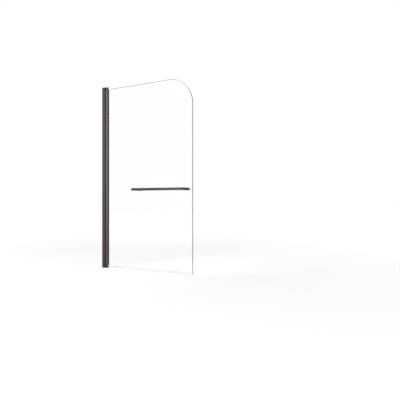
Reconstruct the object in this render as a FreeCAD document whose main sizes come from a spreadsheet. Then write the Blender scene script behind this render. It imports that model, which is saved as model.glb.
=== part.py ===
import FreeCAD, Part
import math
import os
import re
import Sketcher

# Pivoting bath screen: a wall channel, a jamb that slides in it to suit an uneven wall,
# and a glass pane with a towel rail that swings on two pivots in the jamb's brackets.
#
# X runs from the wall along the screen, Y from the outer to the inner side, Z up.
# The origin lies on the wall face, at mid-depth of the channel, at the level of the screen's foot.
# Pieces at the two ends are drawn from the end inwards, and turned over for the upper end.
# Pieces that swing are drawn about the pivot axis.

SIZES = (
    ("screen_width", 800, "wall face to the free edge of the glass"),
    ("screen_height", 1400, "foot to the top of the wall channel"),
    ("channel_width", 28.5, "how far the wall channel stands out from the wall"),
    ("channel_depth", 24, "wall channel from the outer to the inner side"),
    ("channel_wall", 2, "wall thickness of the channel"),
    ("channel_round", 1, "rounding of the channel's front edges"),
    ("wall_hole_bore", 5.5, "bore of the holes for the wall screws"),
    ("wall_hole_inset", 100, "first wall screw from the end of the screen"),
    ("wall_hole_count", 4, "wall screws in a row"),
    ("cap_plate", 2.5, "end plate that closes the channel"),
    ("cap_round", 1, "rounding of the end plate's outer edge"),
    ("lug_gap", 0.15, "cap lug to the back of the channel"),
    ("lug_depth", 5, "cap lug away from the wall"),
    ("lug_length", 12, "cap lug into the channel"),
    ("lug_side_gap", 0.6, "cap lug to the jamb's side walls"),
    ("slide_gap", 0.3, "jamb to the channel, each side"),
    ("jamb_wall", 1.6, "side wall of the jamb"),
    ("jamb_stop_gap", 1, "jamb to the back of the channel when pushed home"),
    ("adjust_travel", 10, "how far the jamb can be drawn out"),
    ("web_set_back", 1, "jamb's web behind the channel's mouth"),
    ("web_thickness", 6.4, "web that carries the screw ports"),
    ("port_spread", 10, "distance between the jamb's two screw ports"),
    ("port_bore", 2.9, "bore of the jamb's screw ports"),
    ("neck_width", 16, "neck that carries the lip seal"),
    ("neck_gap", 1.7, "neck to the back of the pivot post"),
    ("groove_mouth", 2.4, "opening of the lip seal's groove"),
    ("groove_lip", 1.6, "thickness of the groove's lips"),
    ("groove_root", 4.4, "width of the groove's root"),
    ("groove_root_depth", 1.5, "depth of the groove's root"),
    ("seal_ease", 0.1, "lip seal to its groove, each side"),
    ("seal_run_gap", 0.3, "lip seal to the turning post"),
    ("groove_width", 1, "gap from the channel to the pivot post's round back"),
    ("lock_inset", 160, "first lock screw from the end of the screen"),
    ("lock_count", 3, "lock screws in a row"),
    ("lock_thread", 4, "lock screw diameter"),
    ("lock_hole_gap", 0.2, "lock screw to its hole and slot, each side"),
    ("lock_head", 7.8, "lock screw head diameter"),
    ("lock_head_height", 2.6, "lock screw head"),
    ("lock_tail", 0.6, "lock screw past its nut"),
    ("nut_width", 7, "square nut across flats"),
    ("nut_height", 2.2, "square nut thickness"),
    ("nut_web_gap", 0.5, "square nut to the jamb's web"),
    ("nut_seat_gap", 0.1, "square nut to the jamb's side wall"),
    ("nut_thread_gap", 0.05, "lock screw to the nut's thread"),
    ("cover_wall", 1.3, "wall of the snap cover"),
    ("cover_gap", 0.1, "snap cover to the screw head"),
    ("cover_round", 1.6, "rounding of the snap cover"),
    ("bracket_height", 13.5, "pivot bracket from the end of the screen"),
    ("bracket_lift", 0.2, "pivot bracket above the screen's foot"),
    ("bracket_back_gap", 2, "pivot bracket to the cap lug"),
    ("bracket_rebate", 0.5, "pivot bracket to the cap's end plate"),
    ("bracket_round", 0.8, "rounding of the pivot bracket's head"),
    ("arm_width", 9, "pivot bracket's arm across the shadow gap"),
    ("arm_round", 1.2, "rounding in the corners of the arm"),
    ("tenon_length", 12, "pivot bracket's tenon into the jamb"),
    ("tenon_gap", 0.2, "tenon to the inside of the jamb"),
    ("bracket_screw", 2.8, "bracket screw diameter"),
    ("bracket_screw_gap", 0.25, "bracket screw to its clearance hole"),
    ("bracket_screw_reach", 18, "bracket screw into the jamb"),
    ("bracket_screw_head", 4.8, "bracket screw head diameter"),
    ("bracket_screw_head_height", 2.2, "bracket screw head"),
    ("head_gap", 0.2, "bracket screw head to its recess"),
    ("pin_diameter", 8, "pivot pin"),
    ("pin_end_gap", 1, "pivot pin to the bottom of its seat"),
    ("pin_gap", 0.05, "pivot pin to its bush"),
    ("bush_wall", 1.9, "wall of the pivot bush"),
    ("bush_gap", 0.05, "pivot bush to the bracket"),
    ("bush_floor", 4, "bracket left under the bush"),
    ("washer_thickness", 1, "thrust washer"),
    ("washer_width", 15, "thrust washer diameter"),
    ("washer_gap", 0.3, "thrust washer to the pivot pin"),
    ("end_play", 0.3, "play above the upper thrust washer"),
    ("plug_flange", 3, "flange of the pivot plug"),
    ("peg_length", 10, "pivot plug's pegs into the post"),
    ("peg_gap", 0.05, "peg to its bore"),
    ("post_depth", 18, "pivot post from the outer to the inner side"),
    ("barrel_radius", 12.5, "pivot axis to the post's round back"),
    ("barrel_round", 1, "rounding of the edges between the post's flat sides and its round back"),
    ("jaw_reach", 14, "pivot axis to the post's face"),
    ("post_round", 1.5, "rounding of the post's face edges"),
    ("slot_depth", 13, "glazing slot in the post"),
    ("peg_bore", 2.5, "bores for the pegs in the post"),
    ("peg_wall", 1.25, "peg bores to the flange's edge"),
    ("peg_angle", 46, "peg bores from the middle of the back, in degrees"),
    ("gasket_wall", 1.5, "glazing gasket beside the glass"),
    ("gasket_base", 1.5, "glazing gasket behind the glass"),
    ("gasket_proud", 1.2, "glazing gasket in front of the post"),
    ("glass_thickness", 8, "toughened glass"),
    ("glass_corner", 190, "radius of the free upper corner"),
    ("glass_arris", 0.8, "ground chamfer along the glass edges"),
    ("drip_jaw_wall", 1.4, "bottom seal beside the glass"),
    ("drip_jaw_height", 14, "bottom seal up the glass"),
    ("drip_base", 1.8, "bottom seal under the glass"),
    ("drip_fin", 1.2, "thickness of the bottom seal's wiper"),
    ("drip_lift", 0.6, "wiper above the screen's foot"),
    ("drip_lip_radius", 9, "curve of the deflector lip"),
    ("drip_lip_sweep", 65, "how far the deflector lip curls outwards, in degrees"),
    ("drip_post_gap", 0.7, "bottom seal to the gasket"),
    ("drip_end_inset", 1, "bottom seal to the free edge"),
    ("rail_height", 602, "foot to the middle of the towel rail"),
    ("rail_length", 421, "towel rail over its two posts"),
    ("rail_inset", 24, "towel rail to the free edge of the glass"),
    ("rail_projection", 106.5, "glass to the front of the towel rail"),
    ("rail_section", 18, "side of the rail's square section"),
    ("rail_wall", 1.5, "wall of the rail's square tube"),
    ("rail_round", 1.5, "rounding of the rail's long edges"),
    ("spigot_length", 14, "post's spigot into the tube"),
    ("spigot_gap", 0.15, "spigot to the inside of the tube"),
    ("grub_thread", 4, "grub screw diameter"),
    ("grub_length", 5, "grub screw"),
    ("grub_sink", 0.3, "grub screw below the tube's face"),
    ("grub_gap", 0.05, "grub screw to its thread"),
    ("stud_thread", 6, "rail stud diameter"),
    ("stud_post_reach", 18, "rail stud into the rail's post"),
    ("stud_knob_reach", 4.5, "rail stud into the knob"),
    ("stud_gap", 0.05, "rail stud to its threads"),
    ("stud_end_gap", 1, "rail stud to the bottom of its threads"),
    ("sleeve_wall", 1.75, "nylon sleeve in the glass"),
    ("sleeve_bore_gap", 0.15, "nylon sleeve to the stud"),
    ("sleeve_glass_gap", 0.1, "nylon sleeve to the glass"),
    ("pad_thickness", 1, "washers on both faces of the glass"),
    ("outer_pad_width", 17, "washer under the rail's post"),
    ("inner_pad_width", 13, "washer under the knob"),
    ("knob_width", 14, "knob on the inner side"),
    ("knob_height", 7, "knob on the inner side"),
    ("knob_round", 2, "rounding of the knob"),
)

# Places worked out from the sizes, in the same plain names.
PLACES = {
    "channel_half": "channel_depth / 2",
    "channel_inner_half": "channel_half - channel_wall",
    "jamb_half": "channel_inner_half - slide_gap",
    "jamb_inner_half": "jamb_half - jamb_wall",
    "jamb_back": "channel_wall + jamb_stop_gap",
    "jamb_length": "screen_height - 2 * bracket_height",
    "web_front": "channel_width - web_set_back",
    "web_back": "web_front - web_thickness",
    "port_x": "web_front - web_thickness / 2",
    "lug_back": "channel_wall + lug_gap",
    "lug_front": "lug_back + lug_depth",
    "lug_half": "jamb_inner_half - lug_side_gap",
    "post_back": "channel_width + groove_width",
    "post_half": "post_depth / 2",
    "barrel_side": "sqrt(barrel_radius ^ 2 - post_half ^ 2)",
    "pivot_x": "post_back + barrel_radius",
    "neck_front": "post_back - neck_gap",
    "root_front": "neck_front - groove_lip",
    "root_back": "root_front - groove_root_depth",
    "lip_radius": "neck_gap - seal_run_gap",
    "lock_x": "web_back - nut_web_gap - nut_width / 2",
    "lock_hole": "lock_thread + 2 * lock_hole_gap",
    "lock_span": "screen_height - 2 * lock_inset",
    "nut_seat": "jamb_inner_half - nut_seat_gap",
    "cover_bore": "lock_head / 2 + cover_gap",
    "cover_radius": "cover_bore + cover_wall",
    "cover_ceiling": "channel_half + lock_head_height + cover_gap",
    "cover_top": "cover_ceiling + cover_wall",
    "bracket_back": "lug_front + bracket_back_gap",
    "arm_half": "arm_width / 2",
    "bracket_rebate_height": "cap_plate + bracket_rebate",
    "screw_recess_floor": "bracket_rebate_height + bracket_screw_head_height",
    "bush_bore": "pin_diameter + 2 * pin_gap",
    "bush_width": "bush_bore + 2 * bush_wall",
    "bush_length": "bracket_height - bush_floor",
    "lower_flange_start": "bracket_height + washer_thickness",
    "upper_flange_start": "lower_flange_start + end_play",
    "pin_length": "lower_flange_start - bush_floor - pin_end_gap",
    "lower_post_end": "lower_flange_start + plug_flange",
    "upper_post_end": "upper_flange_start + plug_flange",
    "post_length": "screen_height - lower_post_end - upper_post_end",
    "peg_radius": "post_half - peg_wall - peg_bore / 2",
    "peg_back": "-peg_radius * cos(peg_angle)",
    "peg_side": "peg_radius * sin(peg_angle)",
    "slot_half": "glass_half + gasket_wall",
    "slot_floor": "jaw_reach - slot_depth",
    "gasket_front": "jaw_reach + gasket_proud",
    "glass_half": "glass_thickness / 2",
    "glass_edge": "slot_floor + gasket_base",
    "glass_free": "screen_width - pivot_x",
    "glass_top": "lower_post_end + post_length",
    "drip_half": "glass_half + drip_jaw_wall",
    "drip_floor": "lower_post_end - drip_base",
    "drip_start": "gasket_front + drip_post_gap",
    "drip_lip_centre": "drip_half + drip_lip_radius",
    "rail_span": "rail_length - rail_section",
    "rail_half": "rail_section / 2",
    "rail_bore": "rail_section - 2 * rail_wall",
    "rail_free_x": "glass_free - rail_inset - rail_half",
    "rail_hinge_x": "rail_free_x - rail_span",
    "rail_front": "glass_half + rail_projection",
    "rail_middle": "rail_front - rail_half",
    "rail_back": "glass_half + pad_thickness",
    "tube_length": "rail_span - rail_section",
    "grub_place": "spigot_length / 2",
    "grub_start": "rail_half - grub_sink",
    "spigot_width": "rail_bore - 2 * spigot_gap",
    "spigot_round": "rail_round / 2",
    "sleeve_bore": "stud_thread + 2 * sleeve_bore_gap",
    "sleeve_width": "sleeve_bore + 2 * sleeve_wall",
    "glass_hole": "sleeve_width + 2 * sleeve_glass_gap",
    "stud_hole": "stud_thread + 2 * stud_gap",
}

NAME = re.compile(r"[a-z][a-z_]*")
ALIASES = {alias for alias, _, _ in SIZES}
TOLERANCE = 1e-4
RIGHT = "right"

doc = FreeCAD.newDocument("bath_screen")
sheet = doc.addObject("Spreadsheet::Sheet", "sizes")
for row, (alias, size, meaning) in enumerate(SIZES, start=1):
    sheet.set(f"A{row}", meaning)
    sheet.set(f"B{row}", str(size))
    sheet.setAlias(f"B{row}", alias)
doc.recompute()

pieces = []


def sized(text):
    """Turn an expression in plain names into one on the sheet's cells."""
    def swap(match):
        name = match.group()
        if name in PLACES:
            return "(" + sized(PLACES[name]) + ")"
        return "sizes." + name if name in ALIASES else name
    return NAME.sub(swap, text)


def measure(text):
    """Work out an expression in plain names, in millimetres."""
    return float(sheet.evalExpression(sized(text)))


def new_body(label, x="0", y="0", z="0", turned_over=False):
    """Start a piece. A piece that is turned over hangs from the upper end of the screen."""
    body = doc.addObject("PartDesign::Body", label)
    body.Label = label
    if turned_over:
        body.Placement = FreeCAD.Placement(FreeCAD.Vector(), FreeCAD.Rotation(FreeCAD.Vector(1, 0, 0), 180))
        z = f"screen_height - ({z})"
    for axis, place in zip("xyz", (x, y, z)):
        body.setExpression(f"Placement.Base.{axis}", sized(place))
    pieces.append(body)
    return body


def origin_feature(body, role):
    """Find one of the body's own axes or planes."""
    return next(item for item in body.Origin.OriginFeatures if item.Role == role)


def new_sketch(body, plane, rise="0"):
    """Start a sketch on one of the body's planes, raised along the plane's normal."""
    sketch = body.newObject("Sketcher::SketchObject", body.Label + "_sketch")
    sketch.AttachmentSupport = [(origin_feature(body, plane), "")]
    sketch.MapMode = "FlatFace"
    sketch.setExpression("AttachmentOffset.Base.z", sized(rise))
    return sketch


def pin_point(sketch, geometry, point, place, axes="XY"):
    """Tie a point of the sketch to its place from the sketch's origin."""
    for axis in axes:
        text = place["XY".index(axis)]
        constraint = Sketcher.Constraint(f"Distance{axis}", -1, 1, geometry, point, measure(text))
        sketch.setExpression(f"Constraints[{sketch.addConstraint(constraint)}]", sized(text))


def outline(sketch, corners):
    """Draw a closed loop through corners given as pairs of expressions.

    A corner with a third entry, a centre, starts an arc to the next corner, which turns left round it.
    With a fourth entry, RIGHT, the arc turns right: it is drawn from its far end.
    """
    first = sketch.GeometryCount
    points = [FreeCAD.Vector(measure(corner[0]), measure(corner[1]), 0) for corner in corners]
    near_ends = [2 if RIGHT in corner else 1 for corner in corners]
    far_ends = [1 if RIGHT in corner else 2 for corner in corners]
    for index, corner in enumerate(corners):
        ends = [points[index], points[(index + 1) % len(points)]]
        if len(corner) == 2:
            sketch.addGeometry(Part.LineSegment(*ends))
            continue
        if RIGHT in corner:
            ends.reverse()
        centre = FreeCAD.Vector(measure(corner[2][0]), measure(corner[2][1]), 0)
        circle = Part.Circle(centre, FreeCAD.Vector(0, 0, 1), ends[0].distanceToPoint(centre))
        angles = [math.atan2(spot.y - centre.y, spot.x - centre.x) for spot in ends]
        sketch.addGeometry(Part.ArcOfCircle(circle, *angles))
    for index, corner in enumerate(corners):
        following = (index + 1) % len(corners)
        sketch.addConstraint(Sketcher.Constraint(
            "Coincident", first + index, far_ends[index], first + following, near_ends[following]))
        pin_point(sketch, first + index, near_ends[index], corner)
    for index, corner in enumerate(corners):
        if len(corner) > 2:
            chord = points[(index + 1) % len(points)] - points[index]
            across = "Y" if abs(chord.x) > abs(chord.y) else "X"
            pin_point(sketch, first + index, 3, corner[2], across)


def rectangle(sketch, left, right, low, high):
    """Draw a rectangle between four expressions."""
    outline(sketch, [(left, low), (right, low), (right, high), (left, high)])


def rounded_square(sketch, width, radius):
    """Draw a square about the sketch's origin with rounded corners."""
    half = f"({width}) / 2"
    flat = f"({half} - {radius})"
    outline(sketch, [
        (f"-{flat}", f"-{half}"), (flat, f"-{half}", (flat, f"-{flat}")),
        (half, f"-{flat}"), (half, flat, (flat, flat)),
        (flat, half), (f"-{flat}", half, (f"-{flat}", flat)),
        (f"-{half}", flat), (f"-{half}", f"-{flat}", (f"-{flat}", f"-{flat}")),
    ])


def ring(sketch, diameter, x="0", y="0"):
    """Draw a circle of a given diameter."""
    centre = FreeCAD.Vector(measure(x), measure(y), 0)
    geometry = sketch.addGeometry(Part.Circle(centre, FreeCAD.Vector(0, 0, 1), measure(diameter) / 2))
    pin_point(sketch, geometry, 3, (x, y))
    constraint = Sketcher.Constraint("Diameter", geometry, measure(diameter))
    sketch.setExpression(f"Constraints[{sketch.addConstraint(constraint)}]", sized(diameter))


def extrude(kind, body, sketch, length, reverse, symmetric):
    """Add a pad or a pocket to the body."""
    feature = body.newObject(f"PartDesign::{kind}", f"{body.Label}_{kind.lower()}")
    feature.Profile = sketch
    feature.setExpression("Length", sized(length))
    feature.Reversed = reverse
    if symmetric:
        feature.SideType = "Symmetric"
    doc.recompute()
    return feature


def pad(body, sketch, length, reverse=False, symmetric=False):
    """Push a sketch out along its normal."""
    return extrude("Pad", body, sketch, length, reverse, symmetric)


def pocket(body, sketch, length, reverse=False, symmetric=False):
    """Cut a sketch against its normal, and make sure that it cut something."""
    doc.recompute()
    before = body.Shape.Volume
    feature = extrude("Pocket", body, sketch, length, reverse, symmetric)
    if body.Shape.Volume >= before:
        raise RuntimeError(f"{body.Label}: a pocket cut nothing")
    return feature


def turn(body, sketch):
    """Turn a sketch round its upright axis."""
    feature = body.newObject("PartDesign::Revolution", f"{body.Label}_turned")
    feature.Profile = sketch
    feature.ReferenceAxis = (sketch, ["V_Axis"])
    feature.Angle = 360
    doc.recompute()
    return feature


def repeat(body, feature, axis, length, count):
    """Repeat a feature along one of the body's axes, from first to last over a length."""
    pattern = body.newObject("PartDesign::LinearPattern", f"{body.Label}_row")
    pattern.Originals = [feature]
    pattern.Direction = (origin_feature(body, axis), [""])
    pattern.setExpression("Length", sized(length))
    pattern.setExpression("Occurrences", sized(count))
    body.Tip = pattern
    doc.recompute()
    return pattern


def break_edges(kind, body, size, chosen):
    """Round or chamfer the edges that a test picks."""
    base = body.Tip
    names = [f"Edge{index}" for index, edge in enumerate(base.Shape.Edges, start=1) if chosen(edge)]
    feature = body.newObject(f"PartDesign::{kind}", f"{body.Label}_{kind.lower()}")
    feature.Base = (base, names)
    feature.setExpression("Radius" if kind == "Fillet" else "Size", sized(size))
    doc.recompute()
    return feature


def lies_at(edge, **places):
    """Say whether an edge lies wholly at the given places, such as x=28."""
    box = edge.BoundBox
    low = {"x": box.XMin, "y": box.YMin, "z": box.ZMin}
    high = {"x": box.XMax, "y": box.YMax, "z": box.ZMax}
    return all(max(abs(low[axis] - place), abs(high[axis] - place)) < TOLERANCE
               for axis, place in places.items())


def stands_at(edge, y):
    """Say whether an edge stands upright at a given place on Y."""
    return lies_at(edge, y=y) and edge.BoundBox.XLength < TOLERANCE


def wall_channel():
    """Extruded aluminium channel that is screwed to the wall."""
    body = new_body("wall_channel")
    section = new_sketch(body, "XY_Plane", "cap_plate")
    outline(section, [
        ("0", "-channel_half"), ("channel_width", "-channel_half"),
        ("channel_width", "-channel_inner_half"), ("channel_wall", "-channel_inner_half"),
        ("channel_wall", "channel_inner_half"), ("channel_width", "channel_inner_half"),
        ("channel_width", "channel_half"), ("0", "channel_half"),
    ])
    pad(body, section, "screen_height - 2 * cap_plate")
    front = measure("channel_width")
    side = measure("channel_half")
    break_edges("Fillet", body, "channel_round",
                lambda edge: lies_at(edge, x=front, y=side) or lies_at(edge, x=front, y=-side))
    wall_hole = new_sketch(body, "YZ_Plane")
    ring(wall_hole, "wall_hole_bore", "0", "wall_hole_inset")
    first_hole = pocket(body, wall_hole, "2 * channel_wall", reverse=True)
    repeat(body, first_hole, "Z_Axis", "screen_height - 2 * wall_hole_inset", "wall_hole_count")
    lock_hole = new_sketch(body, "XZ_Plane")
    ring(lock_hole, "lock_hole", "lock_x", "lock_inset")
    first_lock = pocket(body, lock_hole, "channel_depth")
    repeat(body, first_lock, "Z_Axis", "lock_span", "lock_count")


def channel_cap(label, turned_over):
    """Moulded plate that closes one end of the channel, with a lug that grips its back wall."""
    body = new_body(label, turned_over=turned_over)
    plate = new_sketch(body, "XY_Plane")
    rectangle(plate, "0", "channel_width", "-channel_half", "channel_half")
    pad(body, plate, "cap_plate")
    front = measure("channel_width")
    side = measure("channel_half")
    break_edges("Fillet", body, "channel_round",
                lambda edge: lies_at(edge, x=front, y=side) or lies_at(edge, x=front, y=-side))
    break_edges("Fillet", body, "cap_round", lambda edge: lies_at(edge, z=0) and not lies_at(edge, x=0))
    lug = new_sketch(body, "XY_Plane", "cap_plate")
    rectangle(lug, "lug_back", "lug_front", "-lug_half", "lug_half")
    pad(body, lug, "lug_length")


def lock_screws():
    """Pan-head screws that clamp the jamb where it was set."""
    body = new_body("lock_screws", x="lock_x", z="lock_inset")
    profile = new_sketch(body, "XY_Plane")
    outline(profile, [
        ("0", "nut_seat - nut_height - lock_tail"), ("lock_thread / 2", "nut_seat - nut_height - lock_tail"),
        ("lock_thread / 2", "channel_half"), ("lock_head / 2", "channel_half"),
        ("lock_head / 2", "channel_half + lock_head_height"), ("0", "channel_half + lock_head_height"),
    ])
    repeat(body, turn(body, profile), "Z_Axis", "lock_span", "lock_count")


def lock_nuts():
    """Square nuts inside the jamb."""
    body = new_body("lock_nuts", x="lock_x", y="nut_seat", z="lock_inset")
    face = new_sketch(body, "XZ_Plane")
    rectangle(face, "-nut_width / 2", "nut_width / 2", "-nut_width / 2", "nut_width / 2")
    ring(face, "lock_thread + 2 * nut_thread_gap")
    repeat(body, pad(body, face, "nut_height"), "Z_Axis", "lock_span", "lock_count")


def lock_screw_covers():
    """Snap covers over the lock screws' heads."""
    body = new_body("lock_screw_covers", x="lock_x", z="lock_inset")
    profile = new_sketch(body, "XY_Plane")
    outline(profile, [
        ("cover_bore", "channel_half"), ("cover_radius", "channel_half"),
        ("cover_radius", "cover_top - cover_round",
         ("cover_radius - cover_round", "cover_top - cover_round")),
        ("cover_radius - cover_round", "cover_top"), ("0", "cover_top"),
        ("0", "cover_ceiling"), ("cover_bore", "cover_ceiling"),
    ])
    repeat(body, turn(body, profile), "Z_Axis", "lock_span", "lock_count")


def hinge_jamb():
    """Extruded jamb: two side walls in the channel, a web with screw ports and a neck for the lip seal."""
    body = new_body("hinge_jamb")
    section = new_sketch(body, "XY_Plane", "bracket_height")
    outline(section, [
        ("jamb_back", "-jamb_half"), ("web_front", "-jamb_half"), ("web_front", "-neck_width / 2"),
        ("neck_front", "-neck_width / 2"), ("neck_front", "-groove_mouth / 2"),
        ("root_front", "-groove_mouth / 2"), ("root_front", "-groove_root / 2"),
        ("root_back", "-groove_root / 2"), ("root_back", "groove_root / 2"),
        ("root_front", "groove_root / 2"), ("root_front", "groove_mouth / 2"),
        ("neck_front", "groove_mouth / 2"), ("neck_front", "neck_width / 2"),
        ("web_front", "neck_width / 2"), ("web_front", "jamb_half"), ("jamb_back", "jamb_half"),
        ("jamb_back", "jamb_inner_half"), ("web_back", "jamb_inner_half"),
        ("web_back", "-jamb_inner_half"), ("jamb_back", "-jamb_inner_half"),
    ])
    ring(section, "port_bore", "port_x", "port_spread / 2")
    ring(section, "port_bore", "port_x", "-port_spread / 2")
    pad(body, section, "jamb_length")
    slot = new_sketch(body, "XZ_Plane")
    outline(slot, [
        ("lock_x - adjust_travel", "lock_inset - lock_hole / 2"),
        ("lock_x", "lock_inset - lock_hole / 2", ("lock_x", "lock_inset")),
        ("lock_x", "lock_inset + lock_hole / 2"),
        ("lock_x - adjust_travel", "lock_inset + lock_hole / 2", ("lock_x - adjust_travel", "lock_inset")),
    ])
    first_slot = pocket(body, slot, "channel_depth")
    repeat(body, first_slot, "Z_Axis", "lock_span", "lock_count")


def jamb_seal():
    """Rubber lip that closes the gap between the jamb and the turning post."""
    body = new_body("jamb_seal")
    section = new_sketch(body, "XY_Plane", "bracket_height")
    root = "(groove_root / 2 - seal_ease)"
    stem = "(groove_mouth / 2 - seal_ease)"
    outline(section, [
        ("root_back + seal_ease", f"-{root}"), ("root_front - seal_ease", f"-{root}"),
        ("root_front - seal_ease", f"-{stem}"), ("neck_front", f"-{stem}"),
        ("neck_front", "-lip_radius", ("neck_front", "0")), ("neck_front", "lip_radius"),
        ("neck_front", stem), ("root_front - seal_ease", stem),
        ("root_front - seal_ease", root), ("root_back + seal_ease", root),
    ])
    pad(body, section, "jamb_length")


def pivot_bracket(label, turned_over):
    """Die-cast bracket: a round head about the pivot, a narrow arm, and a shank with a tenon in the jamb."""
    body = new_body(label, turned_over=turned_over)
    head = new_sketch(body, "XY_Plane", "bracket_lift")
    ring(head, "post_depth", "pivot_x")
    pad(body, head, "bracket_height - bracket_lift")
    low = measure("bracket_lift")
    break_edges("Fillet", body, "bracket_round", lambda edge: lies_at(edge, z=low))
    arm = new_sketch(body, "XY_Plane", "bracket_rebate_height")
    rectangle(arm, "web_front", "pivot_x", "-arm_half", "arm_half")
    pad(body, arm, "bracket_height - bracket_rebate_height")
    shank = new_sketch(body, "XY_Plane", "bracket_rebate_height")
    rectangle(shank, "bracket_back", "web_front", "-jamb_half", "jamb_half")
    pad(body, shank, "bracket_height - bracket_rebate_height")
    side = measure("arm_half")
    break_edges("Fillet", body, "arm_round", lambda edge: stands_at(edge, side) or stands_at(edge, -side))
    tenon = new_sketch(body, "XY_Plane", "bracket_height")
    tenon_half = "(jamb_inner_half - tenon_gap)"
    rectangle(tenon, "bracket_back", "web_back - tenon_gap", f"-{tenon_half}", tenon_half)
    pad(body, tenon, "tenon_length")
    bush_seat = new_sketch(body, "XY_Plane", "bracket_height")
    ring(bush_seat, "bush_width + 2 * bush_gap", "pivot_x")
    pocket(body, bush_seat, "bush_length")
    holes = new_sketch(body, "XY_Plane", "bracket_height")
    recesses = new_sketch(body, "XY_Plane", "screw_recess_floor")
    for side in ("port_spread / 2", "-port_spread / 2"):
        ring(holes, "bracket_screw + 2 * bracket_screw_gap", "port_x", side)
        ring(recesses, "bracket_screw_head + 2 * head_gap", "port_x", side)
    pocket(body, holes, "bracket_height")
    pocket(body, recesses, "screw_recess_floor")


def bracket_screws(label, turned_over):
    """Self-tapping screws up through a bracket into the jamb's ports."""
    body = new_body(label, x="port_x", y="-port_spread / 2", turned_over=turned_over)
    if turned_over:
        body.setExpression("Placement.Base.y", sized("port_spread / 2"))
    profile = new_sketch(body, "XZ_Plane")
    outline(profile, [
        ("0", "bracket_rebate_height"), ("bracket_screw_head / 2", "bracket_rebate_height"),
        ("bracket_screw_head / 2", "screw_recess_floor"), ("bracket_screw / 2", "screw_recess_floor"),
        ("bracket_screw / 2", "bracket_height + bracket_screw_reach"),
        ("0", "bracket_height + bracket_screw_reach"),
    ])
    repeat(body, turn(body, profile), "Y_Axis", "port_spread", "2")


def pivot_bush(label, turned_over):
    """Nylon bush in a bracket."""
    body = new_body(label, x="pivot_x", z="bush_floor", turned_over=turned_over)
    section = new_sketch(body, "XY_Plane")
    ring(section, "bush_width")
    ring(section, "bush_bore")
    pad(body, section, "bush_length")


def thrust_washer(label, start, turned_over):
    """Acetal washer between a bracket and the swinging post."""
    body = new_body(label, x="pivot_x", z=start, turned_over=turned_over)
    section = new_sketch(body, "XY_Plane")
    ring(section, "washer_width")
    ring(section, "pin_diameter + 2 * washer_gap")
    pad(body, section, "washer_thickness")


def pivot_post():
    """Extruded post with flat sides, a round back about the pivot and jaws that hold the glass in a slot."""
    body = new_body("pivot_post", x="pivot_x", z="lower_post_end")
    section = new_sketch(body, "XY_Plane")
    outline(section, [
        ("jaw_reach", "post_half"), ("-barrel_side", "post_half", ("0", "0")),
        ("-barrel_side", "-post_half"), ("jaw_reach", "-post_half"),
        ("jaw_reach", "-slot_half"), ("slot_floor", "-slot_half"),
        ("slot_floor", "slot_half"), ("jaw_reach", "slot_half"),
    ])
    ring(section, "peg_bore", "peg_back", "peg_side")
    ring(section, "peg_bore", "peg_back", "-peg_side")
    pad(body, section, "post_length")
    side = measure("post_half")
    for place, size in ((measure("jaw_reach"), "post_round"), (measure("-barrel_side"), "barrel_round")):
        break_edges("Fillet", body, size,
                    lambda edge: lies_at(edge, x=place, y=side) or lies_at(edge, x=place, y=-side))


def pivot_plug(label, start, turned_over):
    """Die-cast plug on the post's end: a round flange, the pivot pin and two pegs into the post."""
    body = new_body(label, x="pivot_x", z=start, turned_over=turned_over)
    flange = new_sketch(body, "XY_Plane")
    ring(flange, "post_depth")
    pad(body, flange, "plug_flange")
    pin = new_sketch(body, "XY_Plane")
    ring(pin, "pin_diameter")
    pad(body, pin, "pin_length", reverse=True)
    pegs = new_sketch(body, "XY_Plane", "plug_flange")
    ring(pegs, "peg_bore - 2 * peg_gap", "peg_back", "peg_side")
    ring(pegs, "peg_bore - 2 * peg_gap", "peg_back", "-peg_side")
    pad(body, pegs, "peg_length")


def glazing_gasket():
    """Rubber channel between the glass and the post's slot."""
    body = new_body("glazing_gasket", x="pivot_x", z="lower_post_end")
    section = new_sketch(body, "XY_Plane")
    outline(section, [
        ("slot_floor", "-slot_half"), ("gasket_front", "-slot_half"), ("gasket_front", "-glass_half"),
        ("glass_edge", "-glass_half"), ("glass_edge", "glass_half"), ("gasket_front", "glass_half"),
        ("gasket_front", "slot_half"), ("slot_floor", "slot_half"),
    ])
    pad(body, section, "post_length")


def glass_pane():
    """Toughened pane with a rounded free corner, ground edges and two holes for the towel rail."""
    body = new_body("glass_pane", x="pivot_x")
    face = new_sketch(body, "XZ_Plane")
    outline(face, [
        ("glass_edge", "lower_post_end"), ("glass_free", "lower_post_end"),
        ("glass_free", "glass_top - glass_corner",
         ("glass_free - glass_corner", "glass_top - glass_corner")),
        ("glass_free - glass_corner", "glass_top"), ("glass_edge", "glass_top"),
    ])
    ring(face, "glass_hole", "rail_hinge_x", "rail_height")
    ring(face, "glass_hole", "rail_free_x", "rail_height")
    pad(body, face, "glass_thickness", symmetric=True)
    half = measure("glass_half")
    break_edges("Chamfer", body, "glass_arris", lambda edge: lies_at(edge, y=half) or lies_at(edge, y=-half))


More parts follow.
